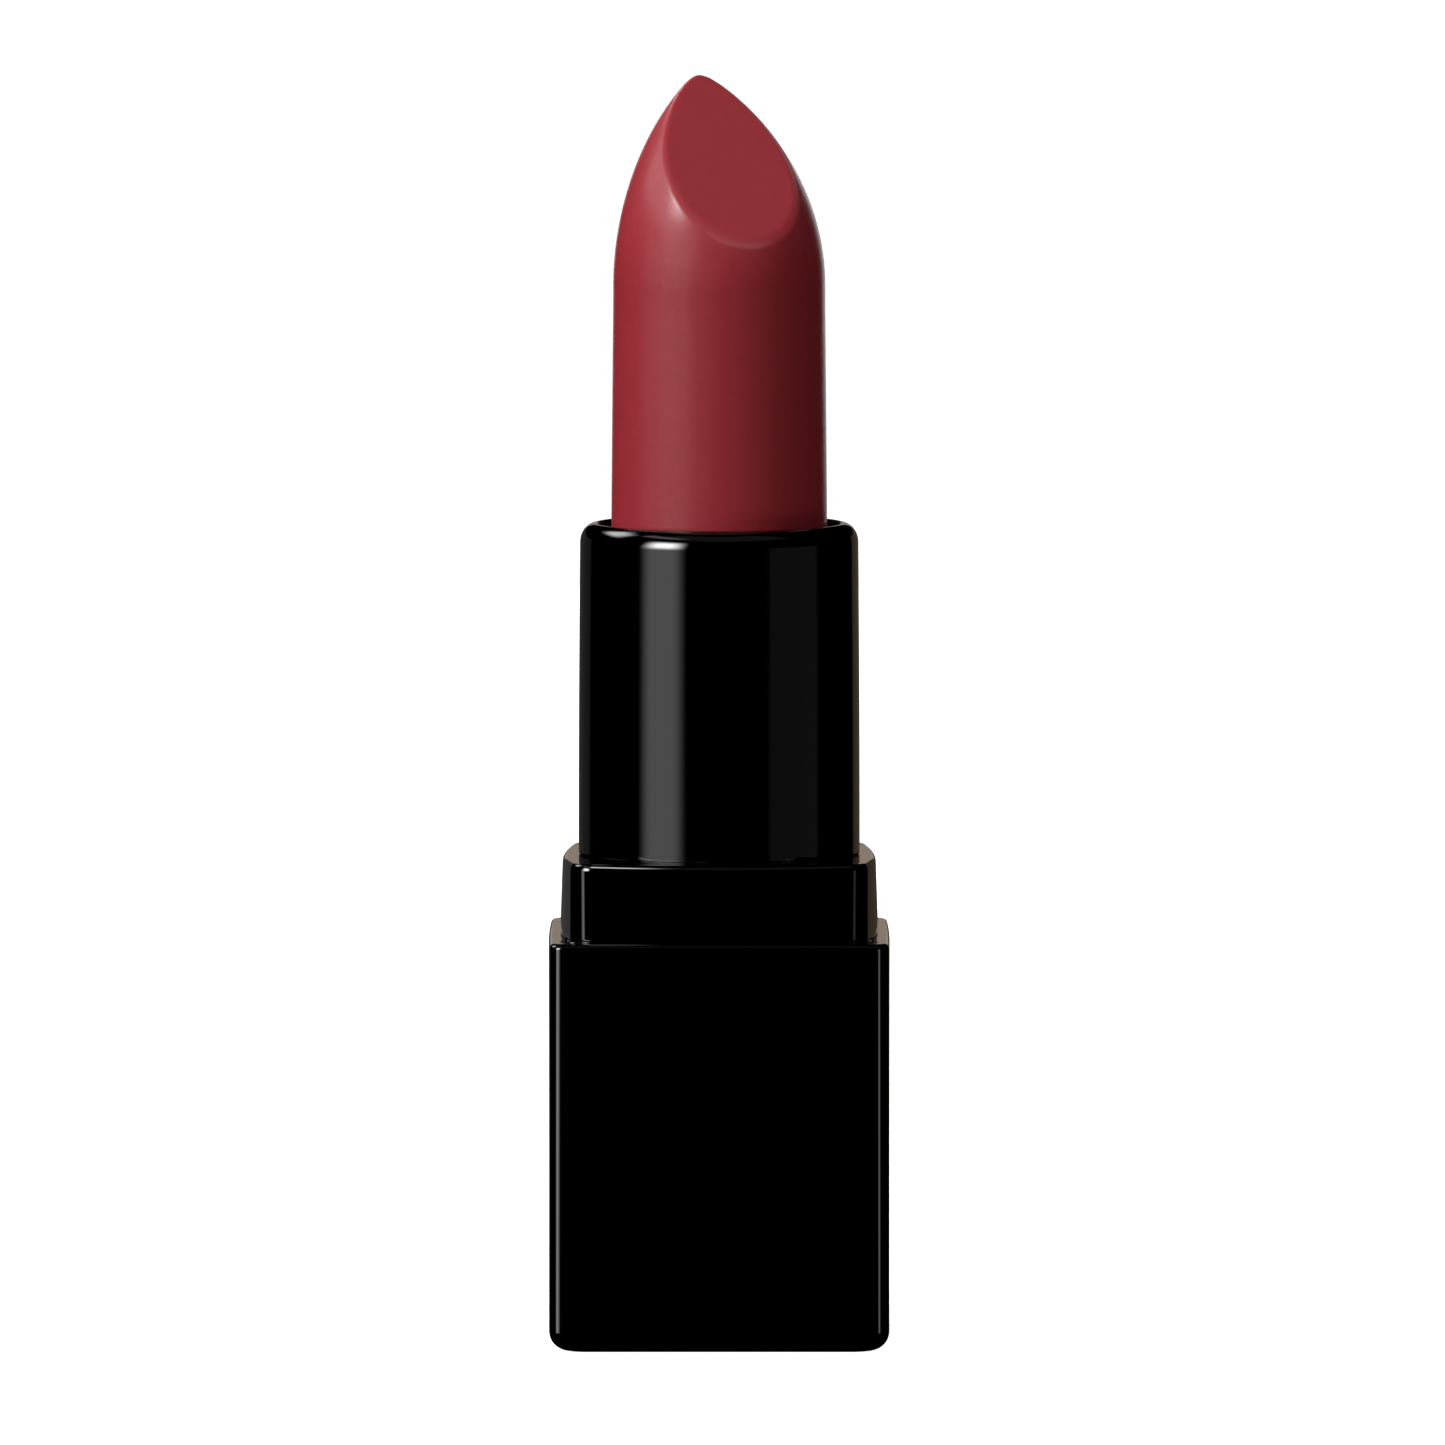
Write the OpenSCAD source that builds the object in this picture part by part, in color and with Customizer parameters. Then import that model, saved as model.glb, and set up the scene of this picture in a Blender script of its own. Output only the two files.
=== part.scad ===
// Swivel lipstick with a square base, shown open and wound up.
// Origin at the middle of the underside, +Z up. The slanted cut of the bullet faces -Y, turned a
// little to +X. Turning the round tube by hand drives the cup up or down inside it.

/* [Square base] */
// Width of the square base
base_w = 19.2; // [18.8:0.1:20]
// Height of the square base
base_h = 23; // [22.5:0.5:26]
// Radius of the base's upright edges
base_edge_r = 0.9; // [0.5:0.1:1]
// Radius around the base's top edge
base_top_r = 0.45; // [0.3:0.05:0.6]
// Radius around the base's bottom edge
base_foot_r = 1.05; // [0.6:0.05:1.2]
// Wall of the base shell
base_wall = 1; // [0.9:0.05:1.05]
// Floor of the base shell
base_floor = 1.5; // [1.2:0.1:1.8]

/* [Collar] */
// Width of the collar where it meets the base
collar_low_w = 17.9; // [17.6:0.1:18.2]
// Width of the collar at its top
collar_top_w = 17.6; // [17.5:0.1:17.8]
// Height of the collar above the base
collar_h = 4.5; // [3.5:0.1:6]
// Radius of the collar's upright edges
collar_edge_r = 2; // [1.2:0.1:2.2]
// Radius around the collar's top edge
collar_top_r = 0.5; // [0.4:0.05:0.75]

/* [Round tube] */
// Outer radius of the round tube above the collar
tube_r = 7.9; // [7.88:0.01:7.95]
// Height of the round tube above the collar
tube_h = 18.65; // [17:0.05:20]
// Wall of the round tube
tube_wall = 0.4; // [0.36:0.01:0.4]
// Radius of the lip's rounded outer edge
lip_outer_r = 0.88; // [0.6:0.02:0.9]
// Radius of the opening inside the lip
mouth_r = 6.85; // [6.75:0.05:6.9]

/* [Bullet] */
// Radius of the bullet where it leaves the cup
bullet_r = 6.05; // [6:0.01:6.05]
// Height of the bullet's tip above the base's underside
tip_z = 71.3; // [70:0.1:72]
// Slope of the slanted cut from level
cut_slope = 45; // [40:1:50]
// Turn of the slanted cut to the right of straight forward
cut_turn = 19.4; // [0:0.1:30]
// Radius of the long arc in the bullet's side
ogive_arc_r = 15.4; // [14:0.1:18]
// Backward lean of the bullet's nose, 10 above its start
nose_lean = 2; // [1.5:0.1:2.4]

/* [Swivel mechanism] */
// Travel of the cup
lift = 27; // [24:1:27]
// Rise of the spiral in one full turn
spiral_lead = 15; // [12:1:18]
// Radius of the cup's two lugs
lug_r = 0.75; // [0.6:0.05:0.75]
// Height of the bullet cup
cup_h = 8; // [6:0.5:8]

/* [Hidden] */
$fn = 96;
over = 1;                   // overshoot of every cutting shape

// Upright stack inside the base, from the floor up
weight_h = 4.4;
pad_h = 0.4;
liner_floor_z = base_floor + weight_h + pad_h;
liner_floor = 1;
foot_z = liner_floor_z + liner_floor;
foot_h = 0.8;
turning_z = foot_z + foot_h + 0.2;      // underside of everything that turns
skirt_z = base_h - 4.4;                 // underside of the collar's skirt
gland_h = 0.6;                          // room for the brake ring
liner_top_z = skirt_z - gland_h;
collar_top_z = base_h + collar_h;
rim_z = collar_top_z + tube_h;          // top of the round tube's lip

// Widths inside the base
cavity_w = base_w - 2 * base_wall;
cavity_edge_r = 1;
plug_w = cavity_w - 0.1;
weight_w = cavity_w - 0.8;
pad_w = weight_w - 0.4;
foot_r = 8.1;
liner_bore_r = foot_r + 0.15;

// Key pegs that stop the slotted tube turning in the liner
peg_r = 0.45;
peg_h = 0.6;
peg_ring_r = foot_r - 0.75;
peg_play = 0.1;

// Underside label
label_r = 6.5;
label_h = 0.25;
label_recess = 0.3;
label_play = 0.1;

// Radii of the nested tubes, from the bullet outwards
running_gap = 0.07;
cup_in_r = bullet_r + 0.03;
cup_out_r = cup_in_r + 0.29;
slotted_in_r = cup_out_r + running_gap;
slotted_out_r = slotted_in_r + 0.44;
sleeve_in_r = slotted_out_r + running_gap;
tube_in_r = tube_r - tube_wall;
sleeve_out_r = tube_in_r - 0.02;
journal_r = tube_r - 0.08;              // the tube's turned-down part that runs in the collar
neck_r = tube_r - 0.2;                  // relief cut in the corner between journal and shoulder
neck_h = 0.6;
collar_bore_r = journal_r + 0.08;
shoulder_z = collar_top_z + 0.1;        // step between the journal and the visible tube

// Lip at the top of the round tube
lip_inner_r = tube_r - mouth_r - lip_outer_r;
lip_h = 0.8;

// Cup and its lugs
cup_floor = 0.7;
cup_top_z = rim_z - 1.7;
cup_z = cup_top_z - cup_h;
lug_z = cup_z + 1.2;
lug_end_r = tube_in_r - 0.12;
cup_vent_r = 1.5;
rib_count = 6;
rib_depth = 0.13;
rib_w = 0.5;

// Slots that the lugs run in
slot_end_play = 0.5;
slot_w = 2 * lug_r + 0.2;
slot_low_z = lug_z - lift - lug_r - slot_end_play;
slot_top_z = lug_z + lug_r + slot_end_play;
slotted_top_z = rim_z - 1.65;
snap_bead_r = 0.22;
snap_bead_z = slotted_top_z - 0.7;
sleeve_top_z = snap_bead_z - snap_bead_r - 0.15;
drain_r = 1.5;

// Spiral slots
groove_w = 2 * lug_r + 0.3;
groove_mid_r = (sleeve_in_r + lug_end_r) / 2;
spiral_climb = atan(spiral_lead / (2 * PI * groove_mid_r));
groove_arc = groove_w / sin(spiral_climb) / (2 * PI * groove_mid_r) * 360;
groove_reach = lug_r + 0.15;            // how far the slots run past the lug's end positions
groove_low_z = lug_z - lift - groove_reach;
groove_h = lift + 2 * groove_reach;
groove_slices = 72;

// Brake ring
brake_r = 0.27;
brake_ring_r = journal_r + 0.06 + brake_r;

// Bullet outline above its straight part
nose_z = tip_z - 11.6;                  // start of the nose
nose_r = bullet_r - 0.085;              // bullet radius there, after the draft
lean_power = 2.1;
nose_root = 0.5;                        // how deep the nose reaches into the straight part
nose_h = nose_root + 11.9;
nose_rings = 16;
nose_sides = 60;
cut_back = 3.45;                        // how far behind the axis the cut meets the tip
bullet_z = cup_z + cup_floor;

// Outlines ------------------------------------------------------------------

module rounded_square(width, corner_r) {
    square([width, width - 2 * corner_r], center = true);
    square([width - 2 * corner_r, width], center = true);
    for (x = [-1, 1], y = [-1, 1])
        translate([x, y] * (width / 2 - corner_r)) circle(corner_r);
}

// Upright rectangle with one radius at its foot and another at its top
module standing_outline(width, height, foot_corner_r, top_corner_r) {
    straight_h = height - foot_corner_r - top_corner_r;
    translate([-width / 2, foot_corner_r]) square([width, straight_h]);
    translate([-width / 2 + foot_corner_r, 0]) square([width - 2 * foot_corner_r, height / 2]);
    translate([-width / 2 + top_corner_r, height / 2]) square([width - 2 * top_corner_r, height / 2]);
    for (side = [-1, 1]) {
        translate([side * (width / 2 - foot_corner_r), foot_corner_r]) circle(foot_corner_r);
        translate([side * (width / 2 - top_corner_r), height - top_corner_r]) circle(top_corner_r);
    }
}

module ring(outer_r, inner_r, low_z, top_z) {
    translate([0, 0, low_z]) difference() {
        cylinder(r = outer_r, h = top_z - low_z);
        translate([0, 0, -over]) cylinder(r = inner_r, h = top_z - low_z + 2 * over);
    }
}

// Base ----------------------------------------------------------------------

module base_shell() {
    color("#0b0b0b") difference() {
        intersection() {
            linear_extrude(base_h) rounded_square(base_w, base_edge_r);
            for_both_sides() standing_outline(base_w, base_h, base_foot_r, base_top_r);
        }
        translate([0, 0, base_floor]) linear_extrude(base_h) rounded_square(cavity_w, cavity_edge_r);
        translate([0, 0, -over]) cylinder(r = label_r + label_play, h = label_recess + over);
    }
}

// One upright outline run through along X and along Y, keeping what both hold
module for_both_sides() {
    intersection() {
        rotate([90, 0, 0]) linear_extrude(base_w + 2 * over, center = true) children();
        rotate([90, 0, 90]) linear_extrude(base_w + 2 * over, center = true) children();
    }
}

module bottom_label() {
    color("#2b2b2d") translate([0, 0, label_recess - label_h]) cylinder(r = label_r, h = label_h);
}

module base_weight() {
    color("#9a9ca0") translate([0, 0, base_floor])
        linear_extrude(weight_h) rounded_square(weight_w, cavity_edge_r);
}

module weight_pad() {
    color("#3a3a3c") translate([0, 0, base_floor + weight_h])
        linear_extrude(pad_h) rounded_square(pad_w, cavity_edge_r);
}

module base_liner() {
    color("#d8d8d4") {
        difference() {
            translate([0, 0, liner_floor_z]) linear_extrude(liner_top_z - liner_floor_z)
                rounded_square(plug_w, cavity_edge_r);
            translate([0, 0, foot_z]) cylinder(r = liner_bore_r, h = base_h);
        }
        key_pegs(peg_r);
    }
}

// Two upright pegs on the liner's floor; drawn thicker, they cut the foot's holes
module key_pegs(radius) {
    for (side = [-1, 1])
        translate([0, side * peg_ring_r, foot_z - liner_floor / 2])
            cylinder(r = radius, h = peg_h + liner_floor / 2, $fn = 32);
}

module collar() {
    color("#0b0b0b") difference() {
        union() {
            collar_block();
            translate([0, 0, skirt_z]) linear_extrude(base_h - skirt_z + collar_top_r)
                rounded_square(plug_w, cavity_edge_r);
        }
        translate([0, 0, skirt_z - over]) cylinder(r = collar_bore_r, h = base_h);
    }
}

// The part of the collar that shows: a tapered square with rounded upright and top edges
module collar_block() {
    low_offset = collar_low_w / 2 - collar_edge_r;
    top_offset = collar_top_w / 2 - collar_edge_r;
    hull() {
        for (x = [-1, 1], y = [-1, 1]) {
            translate([x * low_offset, y * low_offset, base_h])
                cylinder(r = collar_edge_r, h = 0.01, $fn = 32);
            translate([x * top_offset, y * top_offset, collar_top_z - collar_top_r])
                rotate_extrude($fn = 32) translate([collar_edge_r - collar_top_r, 0])
                    circle(collar_top_r, $fn = 24);
        }
    }
}

module brake_ring() {
    color("#1c1c1c") translate([0, 0, (skirt_z + liner_top_z) / 2])
        rotate_extrude() translate([brake_ring_r, 0]) circle(brake_r, $fn = 32);
}

module slotted_tube() {
    color("#161616") difference() {
        union() {
            ring(slotted_out_r, slotted_in_r, foot_z, slotted_top_z);
            translate([0, 0, foot_z]) cylinder(r = foot_r, h = foot_h);
            snap_bead();
        }
        for (side = [0, 180])
            rotate(side) translate([0, -slot_w / 2, slot_low_z])
                cube([foot_r + over, slot_w, slot_top_z - slot_low_z]);
        translate([0, 0, foot_z - over]) cylinder(r = drain_r, h = foot_h + 2 * over);
        key_pegs(peg_r + peg_play);
    }
}

// Rounded bead near the slotted tube's top that keeps the spiral sleeve on
module snap_bead() {
    rotate_extrude() intersection() {
        translate([slotted_out_r, snap_bead_z]) circle(snap_bead_r, $fn = 32);
        translate([slotted_out_r - 0.1, snap_bead_z - snap_bead_r]) square(2 * snap_bead_r);
    }
}

// Turning pieces ------------------------------------------------------------

module round_tube() {
    color("#0b0b0b") rotate_extrude() difference() {
        union() {
            translate([tube_in_r, turning_z])
                square([neck_r - tube_in_r, rim_z - lip_h - turning_z]);
            translate([tube_in_r, turning_z])
                square([journal_r - tube_in_r, shoulder_z - neck_h - turning_z]);
            translate([tube_in_r, shoulder_z])
                square([tube_wall, rim_z - lip_outer_r - shoulder_z]);
            lip_outline();
        }
        translate([0, turning_z - over]) square([mouth_r, rim_z]);
    }
}

module lip_outline() {
    arc_z = rim_z - lip_outer_r;
    difference() {
        union() {
            intersection() {
                translate([tube_r - lip_outer_r, arc_z]) circle(lip_outer_r);
                translate([tube_r - lip_outer_r, arc_z]) square(lip_outer_r);
            }
            translate([mouth_r + lip_inner_r, rim_z - lip_inner_r]) circle(lip_inner_r, $fn = 32);
            translate([mouth_r, rim_z - lip_h])
                square([tube_in_r - mouth_r + 0.1, lip_h - lip_inner_r]);
        }
        translate([0, arc_z - over]) square([tube_in_r, over + lip_outer_r - lip_h]);
    }
}

module spiral_sleeve() {
    color("#e4e2dc") difference() {
        ring(sleeve_out_r, sleeve_in_r, turning_z, sleeve_top_z);
        for (start = [0, 180]) rotate(start) spiral_slot();
    }
}

// Right-handed slot that holds a lug on +X when the cup is fully up
module spiral_slot() {
    low_turn = -(lug_z - groove_low_z) / spiral_lead * 360;
    far_r = sleeve_out_r + 2 * over;
    near_r = sleeve_in_r - over;
    translate([0, 0, groove_low_z]) rotate(low_turn)
        linear_extrude(groove_h, twist = -groove_h / spiral_lead * 360, slices = groove_slices,
                       segments = 6)
            polygon(concat(
                [for (part = [-1, 0, 1]) far_r * turn_point(part * groove_arc / 2)],
                [for (part = [1, 0, -1]) near_r * turn_point(part * groove_arc / 2)]));
}

function turn_point(angle) = [cos(angle), sin(angle)];

// Sliding pieces ------------------------------------------------------------

module bullet_cup() {
    color("#1a1a1a") {
        ring(cup_out_r, cup_in_r, cup_z, cup_top_z);
        ring(cup_in_r + 0.1, cup_vent_r, cup_z, cup_z + cup_floor);
        for (side = [0, 180])
            rotate(side) translate([cup_in_r + 0.05, 0, lug_z]) rotate([0, 90, 0])
                cylinder(r = lug_r, h = lug_end_r - cup_in_r - 0.05);
        for (turn = [0 : 360 / rib_count : 359])
            rotate(turn + 180 / rib_count)
                translate([cup_in_r - rib_depth, -rib_w / 2, cup_z])
                    cube([rib_depth + 0.1, rib_w, cup_h - 1]);
    }
}

module bullet() {
    color("#93323a") difference() {
        union() {
            translate([0, 0, bullet_z])
                cylinder(r1 = bullet_r, r2 = nose_r, h = nose_z - bullet_z);
            nose();
        }
        rotate(cut_turn) translate([0, cut_back, tip_z]) rotate([cut_slope, 0, 0])
            translate([-2 * bullet_r, -6 * bullet_r, 0])
                cube([4 * bullet_r, 12 * bullet_r, 3 * bullet_r]);
    }
}

// Radius and backward shift of the nose at a height above its start
function nose_radius(up) = nose_r - ogive_arc_r + sqrt(pow(ogive_arc_r, 2) - pow(up, 2));
function nose_shift(up) = nose_lean * pow(max(up, 0) / 10, lean_power);

function nose_ring(up) = [
    for (side = [0 : nose_sides - 1])
        let (angle = side * 360 / nose_sides)
            [nose_radius(up) * cos(angle), nose_radius(up) * sin(angle) + nose_shift(up), nose_z + up]
];

function nose_side(level, side) = let (
        here = level * nose_sides + side,
        next = level * nose_sides + (side + 1) % nose_sides
    ) [here, here + nose_sides, next + nose_sides, next];

module nose() {
    rings = [for (level = [0 : nose_rings]) each nose_ring(nose_h * level / nose_rings - nose_root)];
    sides = [for (level = [0 : nose_rings - 1], side = [0 : nose_sides - 1]) nose_side(level, side)];
    bottom = [for (side = [0 : nose_sides - 1]) side];
    top = [for (side = [nose_sides - 1 : -1 : 0]) nose_rings * nose_sides + side];
    rotate(cut_turn) polyhedron(rings, concat([bottom, top], sides), convexity = 4);
}

base_shell();
bottom_label();
base_weight();
weight_pad();
base_liner();
collar();
brake_ring();
slotted_tube();
round_tube();
spiral_sleeve();
bullet_cup();
bullet();
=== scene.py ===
import math

import bpy
import numpy as np
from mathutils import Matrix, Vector


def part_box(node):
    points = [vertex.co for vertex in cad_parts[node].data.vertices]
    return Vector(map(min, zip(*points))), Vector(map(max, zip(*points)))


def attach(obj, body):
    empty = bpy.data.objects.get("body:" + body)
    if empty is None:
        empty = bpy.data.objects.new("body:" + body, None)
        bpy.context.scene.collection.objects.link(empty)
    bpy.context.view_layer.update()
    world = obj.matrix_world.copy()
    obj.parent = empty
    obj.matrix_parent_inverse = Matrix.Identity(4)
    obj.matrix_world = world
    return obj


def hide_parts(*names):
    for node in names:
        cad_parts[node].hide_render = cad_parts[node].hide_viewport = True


MM = 0.001

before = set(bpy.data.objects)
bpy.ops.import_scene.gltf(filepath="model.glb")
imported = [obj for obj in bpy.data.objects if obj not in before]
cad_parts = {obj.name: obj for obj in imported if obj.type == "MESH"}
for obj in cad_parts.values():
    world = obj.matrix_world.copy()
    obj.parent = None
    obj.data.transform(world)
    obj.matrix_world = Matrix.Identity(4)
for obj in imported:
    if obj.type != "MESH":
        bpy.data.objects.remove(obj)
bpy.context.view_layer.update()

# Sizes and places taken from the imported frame, in metres ---------------------------------------

BASE_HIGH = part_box("base_shell")[1]
LEDGE_Z = BASE_HIGH.z + 0.1 * MM  # the photograph's ledge stands a little higher
COLLAR_LOW, COLLAR_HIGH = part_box("collar")
TUBE_LOW, TUBE_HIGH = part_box("round_tube")
SLEEVE_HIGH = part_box("spiral_sleeve")[1]
BULLET_LOW, BULLET_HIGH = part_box("bullet")
LABEL_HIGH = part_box("bottom_label")[1]
WEIGHT_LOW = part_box("base_weight")[0]


# Outlines --------------------------------------------------------------------------------------

def arc(centre, radius, start, end, steps):
    """Points (r, z) along an arc, from angle start to end in degrees."""
    angles = [math.radians(start + (end - start) * i / steps) for i in range(steps + 1)]
    return [(centre[0] + radius * math.cos(a), centre[1] + radius * math.sin(a)) for a in angles]


def square_ring(half, corner_r, z, bow=0.0, corner_steps=16, side_steps=12):
    """One level of a square with rounded corners, whose sides bow outward by bow at their middles."""
    inner = half - corner_r
    points = []
    for quarter in range(4):
        turn = quarter * math.pi / 2
        flat = [(half, -inner + 2 * inner * i / side_steps) for i in range(side_steps)]
        round_part = [(inner + corner_r * math.cos(a), inner + corner_r * math.sin(a))
                      for a in np.linspace(0, math.pi / 2, corner_steps, endpoint=False)]
        for x, y in flat + round_part:
            squeezed_x = x * (1 - bow / half * (y / half) ** 2)
            squeezed_y = y * (1 - bow / half * (x / half) ** 2)
            points.append((squeezed_x * math.cos(turn) - squeezed_y * math.sin(turn),
                           squeezed_x * math.sin(turn) + squeezed_y * math.cos(turn), z))
    return points


def round_ring(radius, z, like):
    """One round level with a point on the same bearing as each point of the ring like."""
    bearings = [math.atan2(y, x) for x, y, _ in like]
    return [(radius * math.cos(b), radius * math.sin(b), z) for b in bearings]


# Meshes ----------------------------------------------------------------------------------------

def add_piece(name, points, faces, body, node):
    """A smooth-shaded mesh that rides on a body and stands for a CAD node."""
    mesh = bpy.data.meshes.new(name)
    mesh.from_pydata([tuple(p) for p in points], [], faces)
    mesh.validate()
    for polygon in mesh.polygons:
        polygon.use_smooth = True
    piece = bpy.data.objects.new(name, mesh)
    bpy.context.scene.collection.objects.link(piece)
    weighted = piece.modifiers.new("even_normals", "WEIGHTED_NORMAL")
    weighted.mode = "FACE_AREA"
    weighted.weight = 50
    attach(piece, body)
    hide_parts(node)
    return piece


def lofted(name, rings, body, node, closed=False):
    """Skin through rings of equal point counts. Closed joins the last ring to the first; otherwise
    both end rings get a cap."""
    count = len(rings[0])
    points = [p for ring in rings for p in ring]
    faces = []
    levels = len(rings)
    for level in range(levels if closed else levels - 1):
        here, there = level * count, (level + 1) % levels * count
        for i in range(count):
            j = (i + 1) % count
            faces.append((here + i, here + j, there + j, there + i))
    if not closed:
        faces.append(tuple(reversed(range(count))))
        faces.append(tuple((levels - 1) * count + i for i in range(count)))
    return add_piece(name, points, faces, body, node)


def turned(name, outline, body, node, sides=256):
    """Lathe shape from a closed outline of (r, z) points that stays clear of the axis."""
    angles = [2 * math.pi * i / sides for i in range(sides)]
    rings = [[(r * math.cos(a), r * math.sin(a), z) for a in angles] for r, z in outline]
    return lofted(name, rings, body, node, closed=True)


# Base shell ------------------------------------------------------------------------------------

def build_base_shell():
    """Base with a drafted wall, rounded edges, an open top and a recess for the label."""
    half, top_z = BASE_HIGH.x + 0.03 * MM, LEDGE_Z
    draft, top_bow = 0.05 * MM, 0.08 * MM
    edge_r = 0.8 * MM
    top_r, foot_r = 0.3 * MM, 1.25 * MM
    wall, label_gap, mouth_bevel = 1.0 * MM, 0.1 * MM, 0.1 * MM
    cavity_corner_r, mouth_corner_r = 1.0 * MM, 1.05 * MM
    foot_corner_gain, top_corner_gain = 0.3, -0.35
    cavity_half = BASE_HIGH.x - wall
    recess_r = LABEL_HIGH.x + label_gap
    support = 0.03 * MM  # rings this close to an edge keep the shading of its walls flat

    def level(inset, z):
        share = z / top_z
        gain = foot_corner_gain if share < 0.5 else top_corner_gain
        corner = edge_r + gain * min(inset, edge_r)
        return square_ring(half - draft * (1 - share) - inset, corner, z, top_bow * share)

    foot = [(foot_r - x, z) for x, z in arc((0, foot_r), foot_r, -90, 0, 12)]
    top = [(top_r - x, z) for x, z in arc((0, top_z - top_r), top_r, 0, 90, 10)]
    outer = [level(inset, z) for inset, z in foot + top]
    inner = [square_ring(cavity_half + mouth_bevel, mouth_corner_r, top_z),
             square_ring(cavity_half + support, cavity_corner_r, top_z - support),
             square_ring(cavity_half, cavity_corner_r, top_z - mouth_bevel),
             square_ring(cavity_half, cavity_corner_r, WEIGHT_LOW.z)]
    recess = [round_ring(recess_r - support, LABEL_HIGH.z, outer[0]),
              round_ring(recess_r, LABEL_HIGH.z - support, outer[0]),
              round_ring(recess_r, support, outer[0]),
              round_ring(recess_r + support, 0, outer[0])]
    return lofted("base_shell_skin", recess + outer + inner, "base", "base_shell")


# Collar ----------------------------------------------------------------------------------------

def build_collar():
    """Tapered square collar with bowed sides and a round bore."""
    low_half, top_half = COLLAR_HIGH.x + 0.04 * MM, COLLAR_HIGH.x - 0.11 * MM
    low_z, top_z, skirt_z = LEDGE_Z, COLLAR_HIGH.z, COLLAR_LOW.z
    edge_r, top_r = 1.15 * MM, 0.42 * MM
    low_bow, top_bow = 0.78 * MM, 0.6 * MM
    skirt_half = BASE_HIGH.x - 1.05 * MM
    bore_r = TUBE_HIGH.x
    bore_edge_r, bore_bevel = 0.03 * MM, 0.1 * MM
    under_r = 0.12 * MM
    support = 0.04 * MM
    skirt_bevel, skirt_low_corner_r, skirt_corner_r = 0.2 * MM, 0.9 * MM, 1.0 * MM
    bow_loss, corner_loss = 0.5, 0.4

    def level(inset, z):
        share = (z - low_z) / (top_z - low_z)
        half = low_half + (top_half - low_half) * share - inset
        bow = low_bow + (top_bow - low_bow) * share - bow_loss * inset
        return square_ring(half, edge_r - corner_loss * inset, z, bow)

    skirt = [square_ring(skirt_half - skirt_bevel, skirt_low_corner_r, skirt_z),
             square_ring(skirt_half, skirt_corner_r, skirt_z + skirt_bevel),
             square_ring(skirt_half, skirt_corner_r, low_z)]
    under = [level(under_r - x, z) for x, z in arc((0, low_z + under_r), under_r, -90, 0, 4)]
    wall = [level(0, low_z + under_r + support), level(0, top_z - top_r - support)]
    top = [level(top_r - x, z) for x, z in arc((0, top_z - top_r), top_r, 0, 90, 16)]
    mouth = [round_ring(r, z, top[0])
             for r, z in arc((bore_r + bore_edge_r, top_z - bore_edge_r), bore_edge_r, 90, 180, 5)]
    bore = [round_ring(bore_r, skirt_z + bore_bevel, top[0]),
            round_ring(bore_r + bore_bevel, skirt_z, top[0])]
    return lofted("collar_skin", skirt + under + wall + top + mouth + bore, "base", "collar",
                  closed=True)


# Round tube ------------------------------------------------------------------------------------

def build_round_tube():
    """Round tube with an elliptical lip and a narrower journal inside the collar."""
    tube_r, rim_z, low_z = TUBE_HIGH.x + 0.045 * MM, TUBE_HIGH.z + 0.06 * MM, TUBE_LOW.z
    inner_r = SLEEVE_HIGH.x + 0.02 * MM
    mouth_r = 6.85 * MM
    journal_r = TUBE_HIGH.x - 0.08 * MM
    shoulder_gap, shoulder_bevel, foot_bevel = 0.04 * MM, 0.05 * MM, 0.1 * MM
    shoulder_z = COLLAR_HIGH.z + shoulder_gap
    lip_w, lip_h = 0.85 * MM, 1.1 * MM
    nose_r, seat_depth = 0.12 * MM, 0.8 * MM
    taper = 0.085 * MM
    taper_top = rim_z - lip_h

    outline = [(inner_r, low_z), (journal_r - foot_bevel, low_z), (journal_r, low_z + foot_bevel),
               (journal_r, shoulder_z), (tube_r - shoulder_bevel, shoulder_z),
               (tube_r, shoulder_z + shoulder_bevel), (tube_r, shoulder_z + 2 * shoulder_bevel)]
    outline += [(tube_r - taper * ((z - shoulder_z) / (taper_top - shoulder_z)) ** 2, z)
                for z in np.linspace(shoulder_z + 1 * MM, taper_top, 14)[:-1]]
    outline += [(tube_r - taper - lip_w + lip_w * x, taper_top + lip_h * z)
                for x, z in arc((0, 0), 1, 0, 86, 20)]
    outline += arc((mouth_r + nose_r, rim_z - nose_r), nose_r, 94, 180, 6)
    outline += [(mouth_r, rim_z - seat_depth), (inner_r, rim_z - seat_depth)]
    return turned("round_tube_skin", outline, "tube", "round_tube")


# Bullet ----------------------------------------------------------------------------------------

CUT_SLOPE = math.radians(45)
CUT_TURN = math.radians(19.4)
NOSE_BELOW_TIP = 11.6 * MM
NOSE_DRAFT = 0.06 * MM
OGIVE_R = 15.4 * MM
NOSE_LEAN = 2.03 * MM
LEAN_POWER = 2.23
TIP_BACK = 3.22 * MM
CUT_EDGE_LOW_R, CUT_EDGE_TIP_R = 0.25 * MM, 0.13 * MM
CUT_HEIGHT = 10 * MM


def rounded_cut(side, cut, radius):
    """Distance to what two surfaces both hold, with a rounded edge where they meet."""
    past = np.hypot(np.maximum(side + radius, 0), np.maximum(cut + radius, 0))
    return np.minimum(-radius, np.maximum(side, cut)) + past


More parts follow.
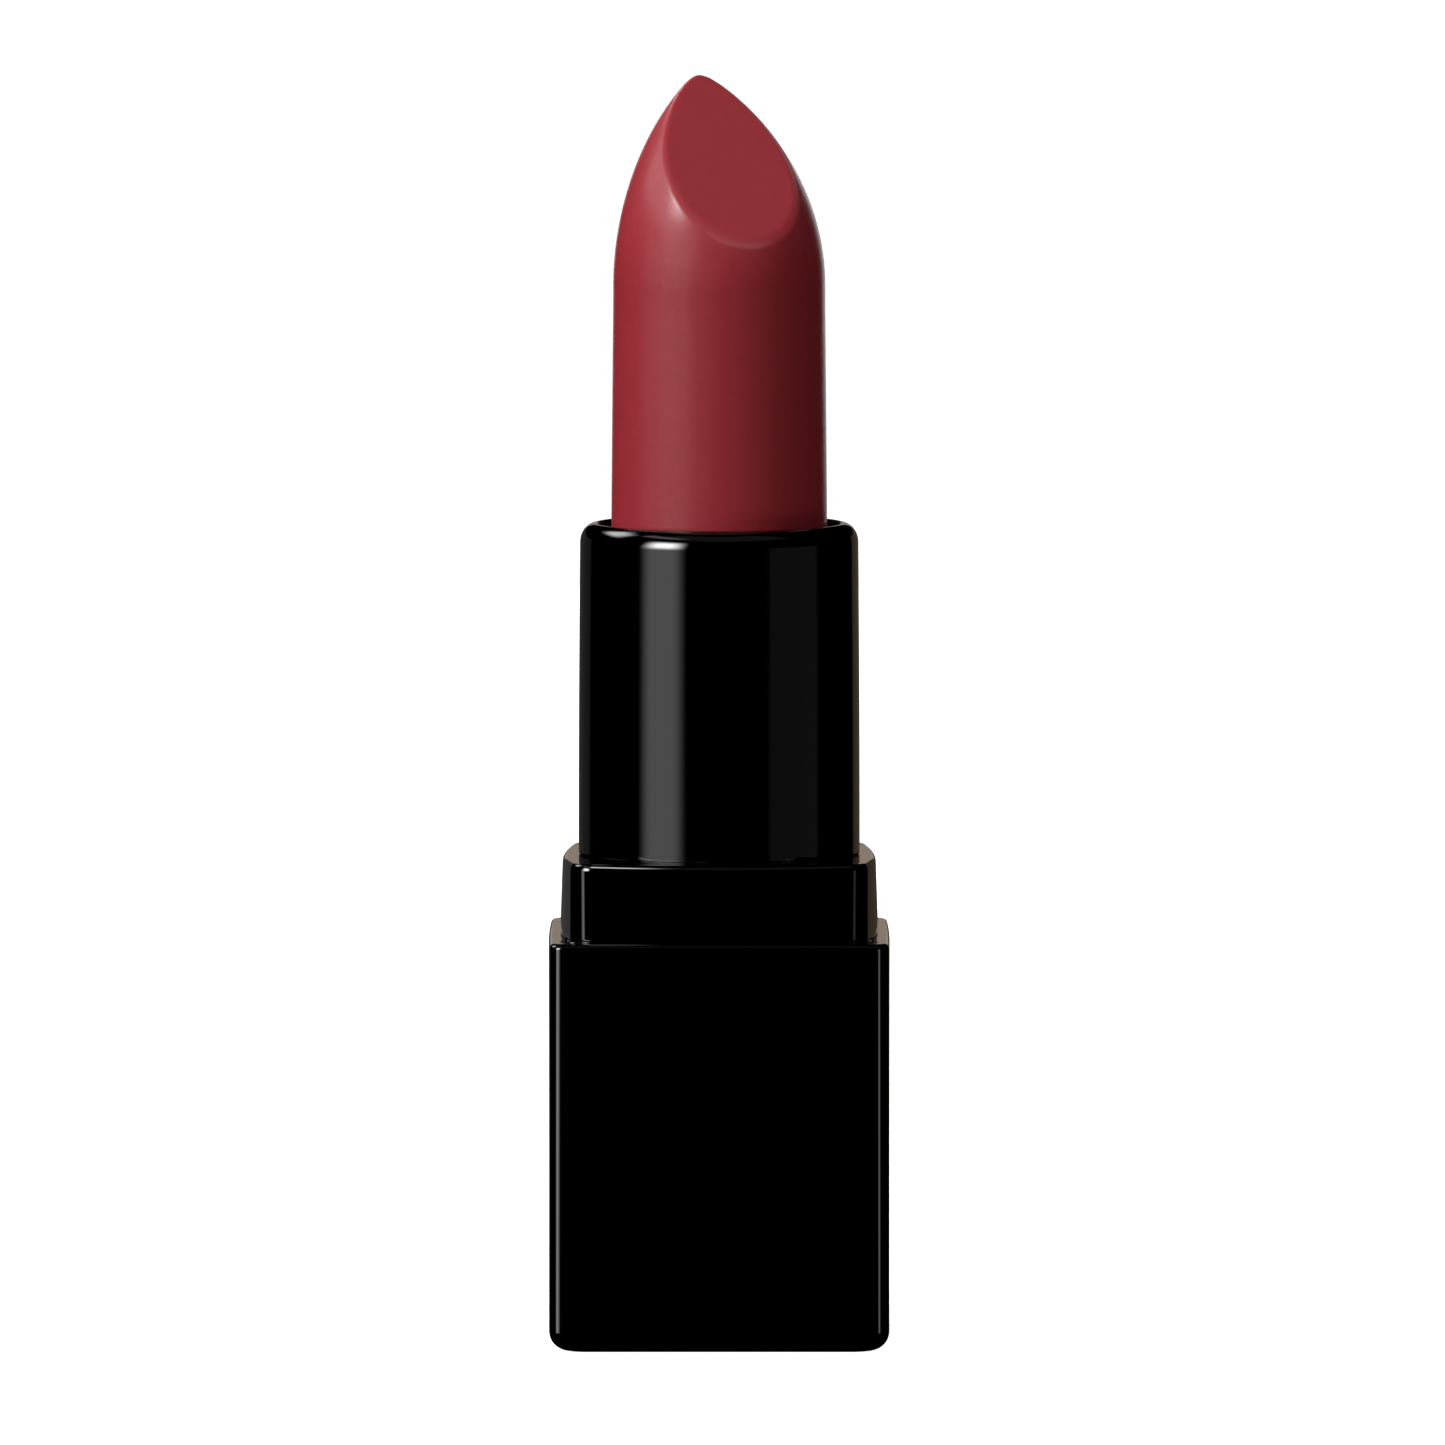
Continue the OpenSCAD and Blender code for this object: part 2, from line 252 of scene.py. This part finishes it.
def bullet_distance(x, y, z, tip_z):
    """Signed distance to the bullet's nose, taken with its cut facing -Y."""
    up = np.clip(z - (tip_z - NOSE_BELOW_TIP), 0, OGIVE_R * 0.999)
    radius = BULLET_HIGH.x - NOSE_DRAFT - OGIVE_R + np.sqrt(OGIVE_R ** 2 - up ** 2)
    shift = NOSE_LEAN * (up / (10 * MM)) ** LEAN_POWER
    side = (np.hypot(x, y - shift) - radius) * np.sqrt(1 - (up / OGIVE_R) ** 2)
    cut = (z - tip_z) * math.cos(CUT_SLOPE) - (y - TIP_BACK) * math.sin(CUT_SLOPE)
    share = np.clip(1 - (tip_z - z) / CUT_HEIGHT, 0, 1)
    return rounded_cut(side, cut, CUT_EDGE_LOW_R + (CUT_EDGE_TIP_R - CUT_EDGE_LOW_R) * share)


def build_bullet():
    """Round stick, and above it rings of rays that end on the nose's surface."""
    around, upward, halvings = 320, 190, 40
    reach = 20 * MM
    tip_z = BULLET_HIGH.z - 0.05 * MM
    centre_z = tip_z - NOSE_BELOW_TIP - 1.0 * MM
    bearing = np.linspace(0, 2 * math.pi, around, endpoint=False)
    rings = []
    cup_r, nose_r = BULLET_HIGH.x, BULLET_HIGH.x - NOSE_DRAFT
    foot_z, cup_top = BULLET_LOW.z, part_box("bullet_cup")[1].z
    foot_r, swell, swell_rise = 0.3 * MM, 0.05 * MM, 0.3 * MM
    swell_top = cup_top + swell_rise
    fade = 1.3
    side = arc((cup_r - foot_r, foot_z + foot_r), foot_r, -90, 0, 4)
    side += [(cup_r, cup_top), (cup_r + swell, swell_top)]
    for share in np.linspace(0, 1, 14)[1:-1]:
        side.append((cup_r + swell + (nose_r - cup_r - swell) * share ** fade,
                     swell_top + (centre_z - swell_top) * share))
    for r, z in side:
        rings.append(np.stack([r * np.cos(bearing), r * np.sin(bearing), 0 * bearing + z], 1))
    for tilt in np.linspace(0, math.pi / 2, upward, endpoint=False):
        ray = np.stack([math.cos(tilt) * np.cos(bearing), math.cos(tilt) * np.sin(bearing),
                        0 * bearing + math.sin(tilt)], 1)
        near, far = np.zeros(around), np.full(around, reach)
        for _ in range(halvings):
            middle = (near + far) / 2
            spot = ray * middle[:, None]
            inside = bullet_distance(spot[:, 0], spot[:, 1], spot[:, 2] + centre_z, tip_z) < 0
            near, far = np.where(inside, middle, near), np.where(inside, far, middle)
        rings.append(ray * near[:, None] + np.array([0, 0, centre_z]))
    turn = np.array([[math.cos(CUT_TURN), math.sin(CUT_TURN), 0],
                     [-math.sin(CUT_TURN), math.cos(CUT_TURN), 0], [0, 0, 1]])
    return lofted("bullet_skin", [ring @ turn for ring in rings], "cup", "bullet")


# Materials -------------------------------------------------------------------------------------

def new_material(name, colour, roughness, **sockets):
    """A material whose uniform values sit on the shader's own sockets."""
    material = bpy.data.materials.new(name)
    material.use_nodes = True
    shader = material.node_tree.nodes["Principled BSDF"]
    shader.inputs["Base Color"].default_value = (*colour, 1)
    shader.inputs["Roughness"].default_value = roughness
    for socket, value in sockets.items():
        shader.inputs[socket.replace("_", " ")].default_value = value
    return material


def noise(material, scale, detail=3.0, stretch=(1, 1, 1)):
    """Noise over the object's own space, in cycles per metre."""
    tree = material.node_tree
    place = tree.nodes.new("ShaderNodeTexCoord")
    mapping = tree.nodes.new("ShaderNodeMapping")
    mapping.inputs["Scale"].default_value = stretch
    texture = tree.nodes.new("ShaderNodeTexNoise")
    texture.inputs["Scale"].default_value = scale
    texture.inputs["Detail"].default_value = detail
    tree.links.new(place.outputs["Object"], mapping.inputs["Vector"])
    tree.links.new(mapping.outputs["Vector"], texture.inputs["Vector"])
    return texture.outputs["Fac"]


def spread(material, value, low, high):
    """Maps a noise value, mostly 0.3 to 0.7, onto a range."""
    node = material.node_tree.nodes.new("ShaderNodeMapRange")
    node.inputs["From Min"].default_value = 0.3
    node.inputs["From Max"].default_value = 0.7
    node.inputs["To Min"].default_value = low
    node.inputs["To Max"].default_value = high
    material.node_tree.links.new(value, node.inputs["Value"])
    return node.outputs["Result"]


def vary_roughness(material, value, low, high):
    shader = material.node_tree.nodes["Principled BSDF"]
    material.node_tree.links.new(spread(material, value, low, high), shader.inputs["Roughness"])


def vary_colour(material, value, first, second):
    tree = material.node_tree
    mix = tree.nodes.new("ShaderNodeMix")
    mix.data_type = "RGBA"
    mix.inputs["A"].default_value = (*first, 1)
    mix.inputs["B"].default_value = (*second, 1)
    tree.links.new(spread(material, value, 0, 1), mix.inputs["Factor"])
    tree.links.new(mix.outputs["Result"], tree.nodes["Principled BSDF"].inputs["Base Color"])


def add_bump(material, value, height):
    tree = material.node_tree
    bump = tree.nodes.new("ShaderNodeBump")
    bump.inputs["Distance"].default_value = height
    bump.inputs["Strength"].default_value = 1.0
    tree.links.new(value, bump.inputs["Height"])
    tree.links.new(bump.outputs["Normal"], tree.nodes["Principled BSDF"].inputs["Normal"])


def gloss_black_plastic():
    material = new_material("gloss_black_plastic", (0.0008, 0.0008, 0.0008), 0.05, IOR=1.5)
    vary_roughness(material, noise(material, 900, 4), 0.035, 0.07)
    return material


def wax():
    """Satin wax: a broad sheen below a tighter one."""
    material = new_material("rose_wax", (0.4, 0.03, 0.042), 0.5, IOR=1.45)
    shader = material.node_tree.nodes["Principled BSDF"]
    shader.inputs["Specular IOR Level"].default_value = 0.3
    shader.inputs["Coat Weight"].default_value = 0.6
    shader.inputs["Coat IOR"].default_value = 1.45
    shader.inputs["Coat Roughness"].default_value = 0.26
    grain = noise(material, 5200, 3)
    vary_colour(material, noise(material, 1400, 4), (0.39, 0.0285, 0.040), (0.41, 0.0305, 0.043))
    vary_roughness(material, grain, 0.45, 0.55)
    add_bump(material, grain, 0.009 * MM)
    return material


def moulded(name, colour, roughness, grain_scale=2500):
    """Satin moulded plastic, rubber or foam with a fine grain."""
    material = new_material(name, colour, roughness)
    grain = noise(material, grain_scale, 4)
    darker = tuple(c * 0.82 for c in colour)
    vary_colour(material, noise(material, grain_scale / 8, 2), darker, colour)
    vary_roughness(material, grain, roughness * 0.85, min(1, roughness * 1.15))
    add_bump(material, grain, 0.004 * MM)
    return material


def sheared_steel():
    material = new_material("sheared_steel", (0.5, 0.5, 0.5), 0.35, Metallic=1.0)
    brushed = noise(material, 1500, 5, (1, 1, 14))
    vary_colour(material, brushed, (0.42, 0.42, 0.43), (0.58, 0.58, 0.57))
    vary_roughness(material, brushed, 0.25, 0.5)
    add_bump(material, brushed, 0.004 * MM)
    return material


# Stage -----------------------------------------------------------------------------------------

def glow_material(name, colour, strength):
    """Emission that each point's own glow value scales, and that hides nothing behind it."""
    material = bpy.data.materials.new(name)
    material.use_nodes = True
    tree = material.node_tree
    tree.nodes.clear()
    share = tree.nodes.new("ShaderNodeAttribute")
    share.attribute_name = "glow"
    scale = tree.nodes.new("ShaderNodeMath")
    scale.operation = "MULTIPLY"
    scale.inputs[1].default_value = strength
    glow = tree.nodes.new("ShaderNodeEmission")
    glow.inputs["Color"].default_value = (*colour, 1)
    out = tree.nodes.new("ShaderNodeOutputMaterial")
    tree.links.new(share.outputs["Fac"], scale.inputs[0])
    tree.links.new(scale.outputs["Value"], glow.inputs["Strength"])
    clear = tree.nodes.new("ShaderNodeBsdfTransparent")
    both = tree.nodes.new("ShaderNodeAddShader")
    tree.links.new(glow.outputs["Emission"], both.inputs[0])
    tree.links.new(clear.outputs["BSDF"], both.inputs[1])
    tree.links.new(both.outputs["Shader"], out.inputs["Surface"])
    return material


def add_floor():
    """A pale floor that only the camera sees, so it throws no light on the object."""
    side = 12.0
    mesh = bpy.data.meshes.new("floor")
    mesh.from_pydata([(-side, -side, 0), (side, -side, 0), (side, side, 0), (-side, side, 0)],
                     [], [(0, 1, 2, 3)])
    floor = bpy.data.objects.new("floor", mesh)
    bpy.context.scene.collection.objects.link(floor)
    material = new_material("pale_floor", (0.85, 0.85, 0.85), 0.9)
    shader = material.node_tree.nodes["Principled BSDF"]
    shader.inputs["Specular IOR Level"].default_value = 0.0
    shader.inputs["Emission Color"].default_value = (1, 1, 1, 1)
    shader.inputs["Emission Strength"].default_value = 1.0
    mesh.materials.append(material)
    floor.visible_glossy = False
    floor.visible_diffuse = False
    floor.visible_shadow = False


def bearing_point(azimuth, distance, z):
    """A point at a bearing from the front: positive turns to the right of -Y, as seen from above."""
    a = math.radians(azimuth)
    return Vector((distance * math.sin(a), -distance * math.cos(a), z))


def soft_step(value):
    """A smooth rise from 0 to 1."""
    value = min(1, max(0, value))
    return value * value * (3 - 2 * value)


def soft_edge(share, width):
    """1 in the middle of a card, falling to 0 at both ends over the width given, as a share of it."""
    return soft_step(share / width[0]) * soft_step((1 - share) / width[1])


def card(name, grid, radiance, colour, soft_across, soft_up):
    """A curved card through a grid of points that only shiny surfaces see, dimmer at its edges."""
    rows, columns = len(grid), len(grid[0])
    points = [tuple(p) for row in grid for p in row]
    faces = [(j * columns + i, j * columns + i + 1, (j + 1) * columns + i + 1, (j + 1) * columns + i)
             for j in range(rows - 1) for i in range(columns - 1)]
    mesh = bpy.data.meshes.new(name)
    mesh.from_pydata(points, [], faces)
    glow = mesh.attributes.new("glow", "FLOAT", "POINT")
    across = [soft_edge(i / (columns - 1), soft_across) for i in range(columns)]
    up = [soft_edge(j / (rows - 1), soft_up) for j in range(rows)]
    glow.data.foreach_set("value", [along * high for high in up for along in across])
    piece = bpy.data.objects.new(name, mesh)
    bpy.context.scene.collection.objects.link(piece)
    mesh.materials.append(glow_material(name, colour, radiance))
    piece.visible_camera = False
    piece.visible_diffuse = False
    piece.visible_shadow = False
    return piece


HARD = (0.001, 0.001)


def upright_card(name, bearings, heights, distance, radiance, colour=(1, 1, 1),
                 soft_across=HARD, soft_up=HARD):
    """A card that stands between two heights in millimetres."""
    grid = [[bearing_point(azimuth, distance, z * MM) for azimuth in np.linspace(*bearings, 41)]
            for z in np.linspace(*heights, 21)]
    return card(name, grid, radiance, colour, soft_across, soft_up)


def sky_card(name, bearings, elevations, distance, radiance, colour=(1, 1, 1),
             soft_across=HARD, soft_up=HARD):
    """A card on a sphere round the object, between two elevations."""
    grid = []
    for elevation in np.linspace(*elevations, 31):
        e = math.radians(elevation)
        grid.append([bearing_point(azimuth, distance * math.cos(e), 0.04 + distance * math.sin(e))
                     for azimuth in np.linspace(*bearings, 41)])
    return card(name, grid, radiance, colour, soft_across, soft_up)


def softbox(name, azimuth, elevation, distance, size, radiance, colour=(1, 1, 1), target_z=0.055):
    """A rectangular area light aimed at the bullet, set by its surface radiance."""
    light = bpy.data.lights.new(name, "AREA")
    light.shape = "RECTANGLE"
    light.size, light.size_y = size
    light.energy = radiance * math.pi * size[0] * size[1]
    light.color = colour
    lamp = bpy.data.objects.new(name, light)
    bpy.context.scene.collection.objects.link(lamp)
    e = math.radians(elevation)
    spot = bearing_point(azimuth, distance * math.cos(e), target_z + distance * math.sin(e))
    lamp.location = spot
    lamp.rotation_euler = (Vector((0, 0, target_z)) - spot).to_track_quat("-Z", "Y").to_euler()
    lamp.visible_camera = False
    return lamp


def add_soft_lamps():
    """The lamps that light the wax and every other matt surface."""
    return [softbox("key", -57, 45, 0.6, (0.16, 0.17), 23.5),
            softbox("side_left", -92, 38, 0.6, (0.6, 0.25), 1.9),
            softbox("mid_left", -46, 21, 0.6, (0.4, 0.2), 0.9),
            softbox("low_left", -50, 6, 0.6, (0.35, 0.25), 0.6),
            softbox("low_wide", -60, 6, 0.6, (0.7, 0.3), 0.55),
            softbox("low_front", -42, 6, 0.6, (1.0, 0.3), 0.28),
            softbox("rim_left", -158, 40, 0.6, (0.24, 0.22), 4.6),
            softbox("rim_right", 140, 40, 0.6, (0.2, 0.2), 1.4),
            softbox("backdrop", 175, 5, 0.6, (0.45, 0.2), 1.3),
            softbox("fill_right", 28, 42, 0.6, (0.5, 0.2), 1.45),
            softbox("top", 20, 72, 0.6, (0.5, 0.4), 0.32),
            softbox("bounce", 40, -35, 0.6, (0.35, 0.3), 0.9)]


WARM, WARM_BROWN = (1, 0.8, 0.65), (1, 0.75, 0.5)
TALL = (-90, 90)  # card height in millimetres
# Each piece's upright cards stand at their own distance, so no two cards coincide.
TUBE_CARDS_AT, COLLAR_CARDS_AT, BASE_CARDS_AT = 0.30, 0.32, 0.34


def add_cards(base, collar, tube):
    """The bright surfaces that the polished black pieces mirror, with the pieces that see each one.
    Bearings and elevations are in degrees, distances in metres."""
    every = (base, collar, tube)
    return [
        (every, sky_card("front_lamp", (-70, -26), (-1, 38), 0.5, 26,
                         soft_across=(0.45, 0.4), soft_up=(0.42, 0.42))),
        (every, sky_card("back_lamp", (-150, -98), (27, 53), 0.5, 6.5,
                         soft_across=(0.45, 0.35), soft_up=(0.4, 0.4))),
        (every, sky_card("top_tail", (-100, -30), (47, 62), 0.5, 1.3,
                         soft_across=(0.1, 0.4), soft_up=(0.4, 0.4))),
        (every, sky_card("overhead", (-85, 85), (42, 80), 0.6, 0.13,
                         soft_across=(0.1, 0.1), soft_up=(0.2, 0.2))),
        (every, upright_card("backdrop_glow", (172, 188), (25, 140), 0.6, 0.38, WARM, soft_up=(0.1, 0.1))),
        ([tube], upright_card("tube_left", (-70, -26), TALL, TUBE_CARDS_AT, 1.7, soft_across=(0.3, 0.3))),
        ([tube], upright_card("tube_right", (39, 90), TALL, TUBE_CARDS_AT, 0.1, soft_across=(0.1, 0.1))),
        ([tube], upright_card("tube_rear_left", (-175, -130), TALL, TUBE_CARDS_AT, 0.05,
                              soft_across=(0.02, 0.1))),
        ([tube], upright_card("tube_rear_right", (141, 175), TALL, TUBE_CARDS_AT, 0.11, WARM_BROWN,
                              soft_across=(0.1, 0.02))),
        ([collar], sky_card("collar_tail", (-34, -8), (44, 66), 0.55, 14,
                            soft_across=(0.1, 0.32), soft_up=(0.3, 0.3))),
        ([collar], upright_card("collar_left", (-70, -54), TALL, COLLAR_CARDS_AT, 2.6,
                                soft_across=(0.3, 0.3))),
        ([collar], upright_card("collar_right", (50, 66), TALL, COLLAR_CARDS_AT, 0.5,
                                soft_across=(0.45, 0.45))),
        ([collar], upright_card("collar_rear_left", (-175, -148), TALL, COLLAR_CARDS_AT, 0.06,
                                soft_across=(0.02, 0.2))),
        ([collar], upright_card("collar_rear_right", (141, 175), TALL, COLLAR_CARDS_AT, 0.06, WARM_BROWN,
                                soft_across=(0.1, 0.02))),
        ([base], upright_card("base_left", (-62, -24), TALL, BASE_CARDS_AT, 4.6, soft_across=(0.2, 0.75))),
        ([base], upright_card("base_right", (26, 44), TALL, BASE_CARDS_AT, 2.0, soft_across=(0.3, 0.3))),
        ([base], upright_card("base_rear_left", (-175, -130), TALL, BASE_CARDS_AT, 0.12,
                              soft_across=(0.02, 0.1))),
        ([base], upright_card("base_rear_right", (141, 175), TALL, BASE_CARDS_AT, 0.11, WARM_BROWN,
                              soft_across=(0.1, 0.02)))]


def light_group(name, pieces, state):
    """A collection that tells a lamp which pieces to include or exclude."""
    group = bpy.data.collections.new(name)
    for piece in pieces:
        group.objects.link(piece)
    for member in group.collection_objects:
        member.light_linking.link_state = state
    return group


def add_world():
    """White behind the object, and a little even light on its matt surfaces."""
    world = bpy.data.worlds.new("studio")
    bpy.context.scene.world = world
    world.use_nodes = True
    tree = world.node_tree
    tree.nodes.clear()
    path = tree.nodes.new("ShaderNodeLightPath")
    seen = tree.nodes.new("ShaderNodeBackground")
    seen.inputs["Color"].default_value = (1, 1, 1, 1)
    seen.inputs["Strength"].default_value = 1.0
    ambient = tree.nodes.new("ShaderNodeBackground")
    ambient.inputs["Color"].default_value = (1, 1, 1, 1)
    ambient.inputs["Strength"].default_value = 0.02
    mix = tree.nodes.new("ShaderNodeMixShader")
    out = tree.nodes.new("ShaderNodeOutputWorld")
    tree.links.new(path.outputs["Is Camera Ray"], mix.inputs["Fac"])
    tree.links.new(ambient.outputs["Background"], mix.inputs[1])
    tree.links.new(seen.outputs["Background"], mix.inputs[2])
    tree.links.new(mix.outputs["Shader"], out.inputs["Surface"])
    world.cycles_visibility.glossy = False


def add_camera():
    """A long lens a little above the bullet's middle, as in the photograph."""
    elevation = math.radians(4.3)
    distance = 1.5
    field = 81.64 * MM
    aim = Vector((0.185 * MM, 0, 34.9 * MM))
    camera = bpy.data.cameras.new("camera")
    camera.sensor_width = 36
    camera.lens = camera.sensor_width * distance / field
    camera.clip_start, camera.clip_end = 0.1, 50
    holder = bpy.data.objects.new("camera", camera)
    bpy.context.scene.collection.objects.link(holder)
    away = Vector((0, -math.cos(elevation), math.sin(elevation)))
    holder.location = aim + away * distance
    holder.rotation_euler = (-away).to_track_quat("-Z", "Y").to_euler()
    bpy.context.scene.camera = holder


# Build -----------------------------------------------------------------------------------------

def dress_node(node, material):
    """A CAD node that keeps its shape gets its material."""
    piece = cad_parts[node]
    piece.data.materials.clear()
    piece.data.materials.append(material)


add_camera()
bpy.context.scene.view_settings.view_transform = "Standard"
add_world()
add_floor()

black = gloss_black_plastic()
polished = [build_base_shell(), build_collar(), build_round_tube()]
for skin in polished:
    skin.data.materials.append(black)
all_but_polished = light_group("all_but_polished", polished, "EXCLUDE")
for lamp in add_soft_lamps():
    lamp.light_linking.receiver_collection = all_but_polished
for seen_by, mirrored in add_cards(*polished):
    mirrored.light_linking.receiver_collection = light_group(mirrored.name + "_seen_by", seen_by, "INCLUDE")
build_bullet().data.materials.append(wax())

satin = moulded("satin_black_plastic", (0.012, 0.012, 0.012), 0.42)
natural = moulded("natural_plastic", (0.72, 0.71, 0.67), 0.45)
dress_node("bottom_label", moulded("label_film", (0.03, 0.03, 0.032), 0.5, 4000))
dress_node("base_weight", sheared_steel())
dress_node("weight_pad", moulded("pad_foam", (0.05, 0.05, 0.05), 0.9, 1800))
dress_node("base_liner", natural)
dress_node("brake_ring", moulded("brake_rubber", (0.015, 0.015, 0.015), 0.6))
dress_node("slotted_tube", satin)
dress_node("spiral_sleeve", natural)
dress_node("bullet_cup", satin)
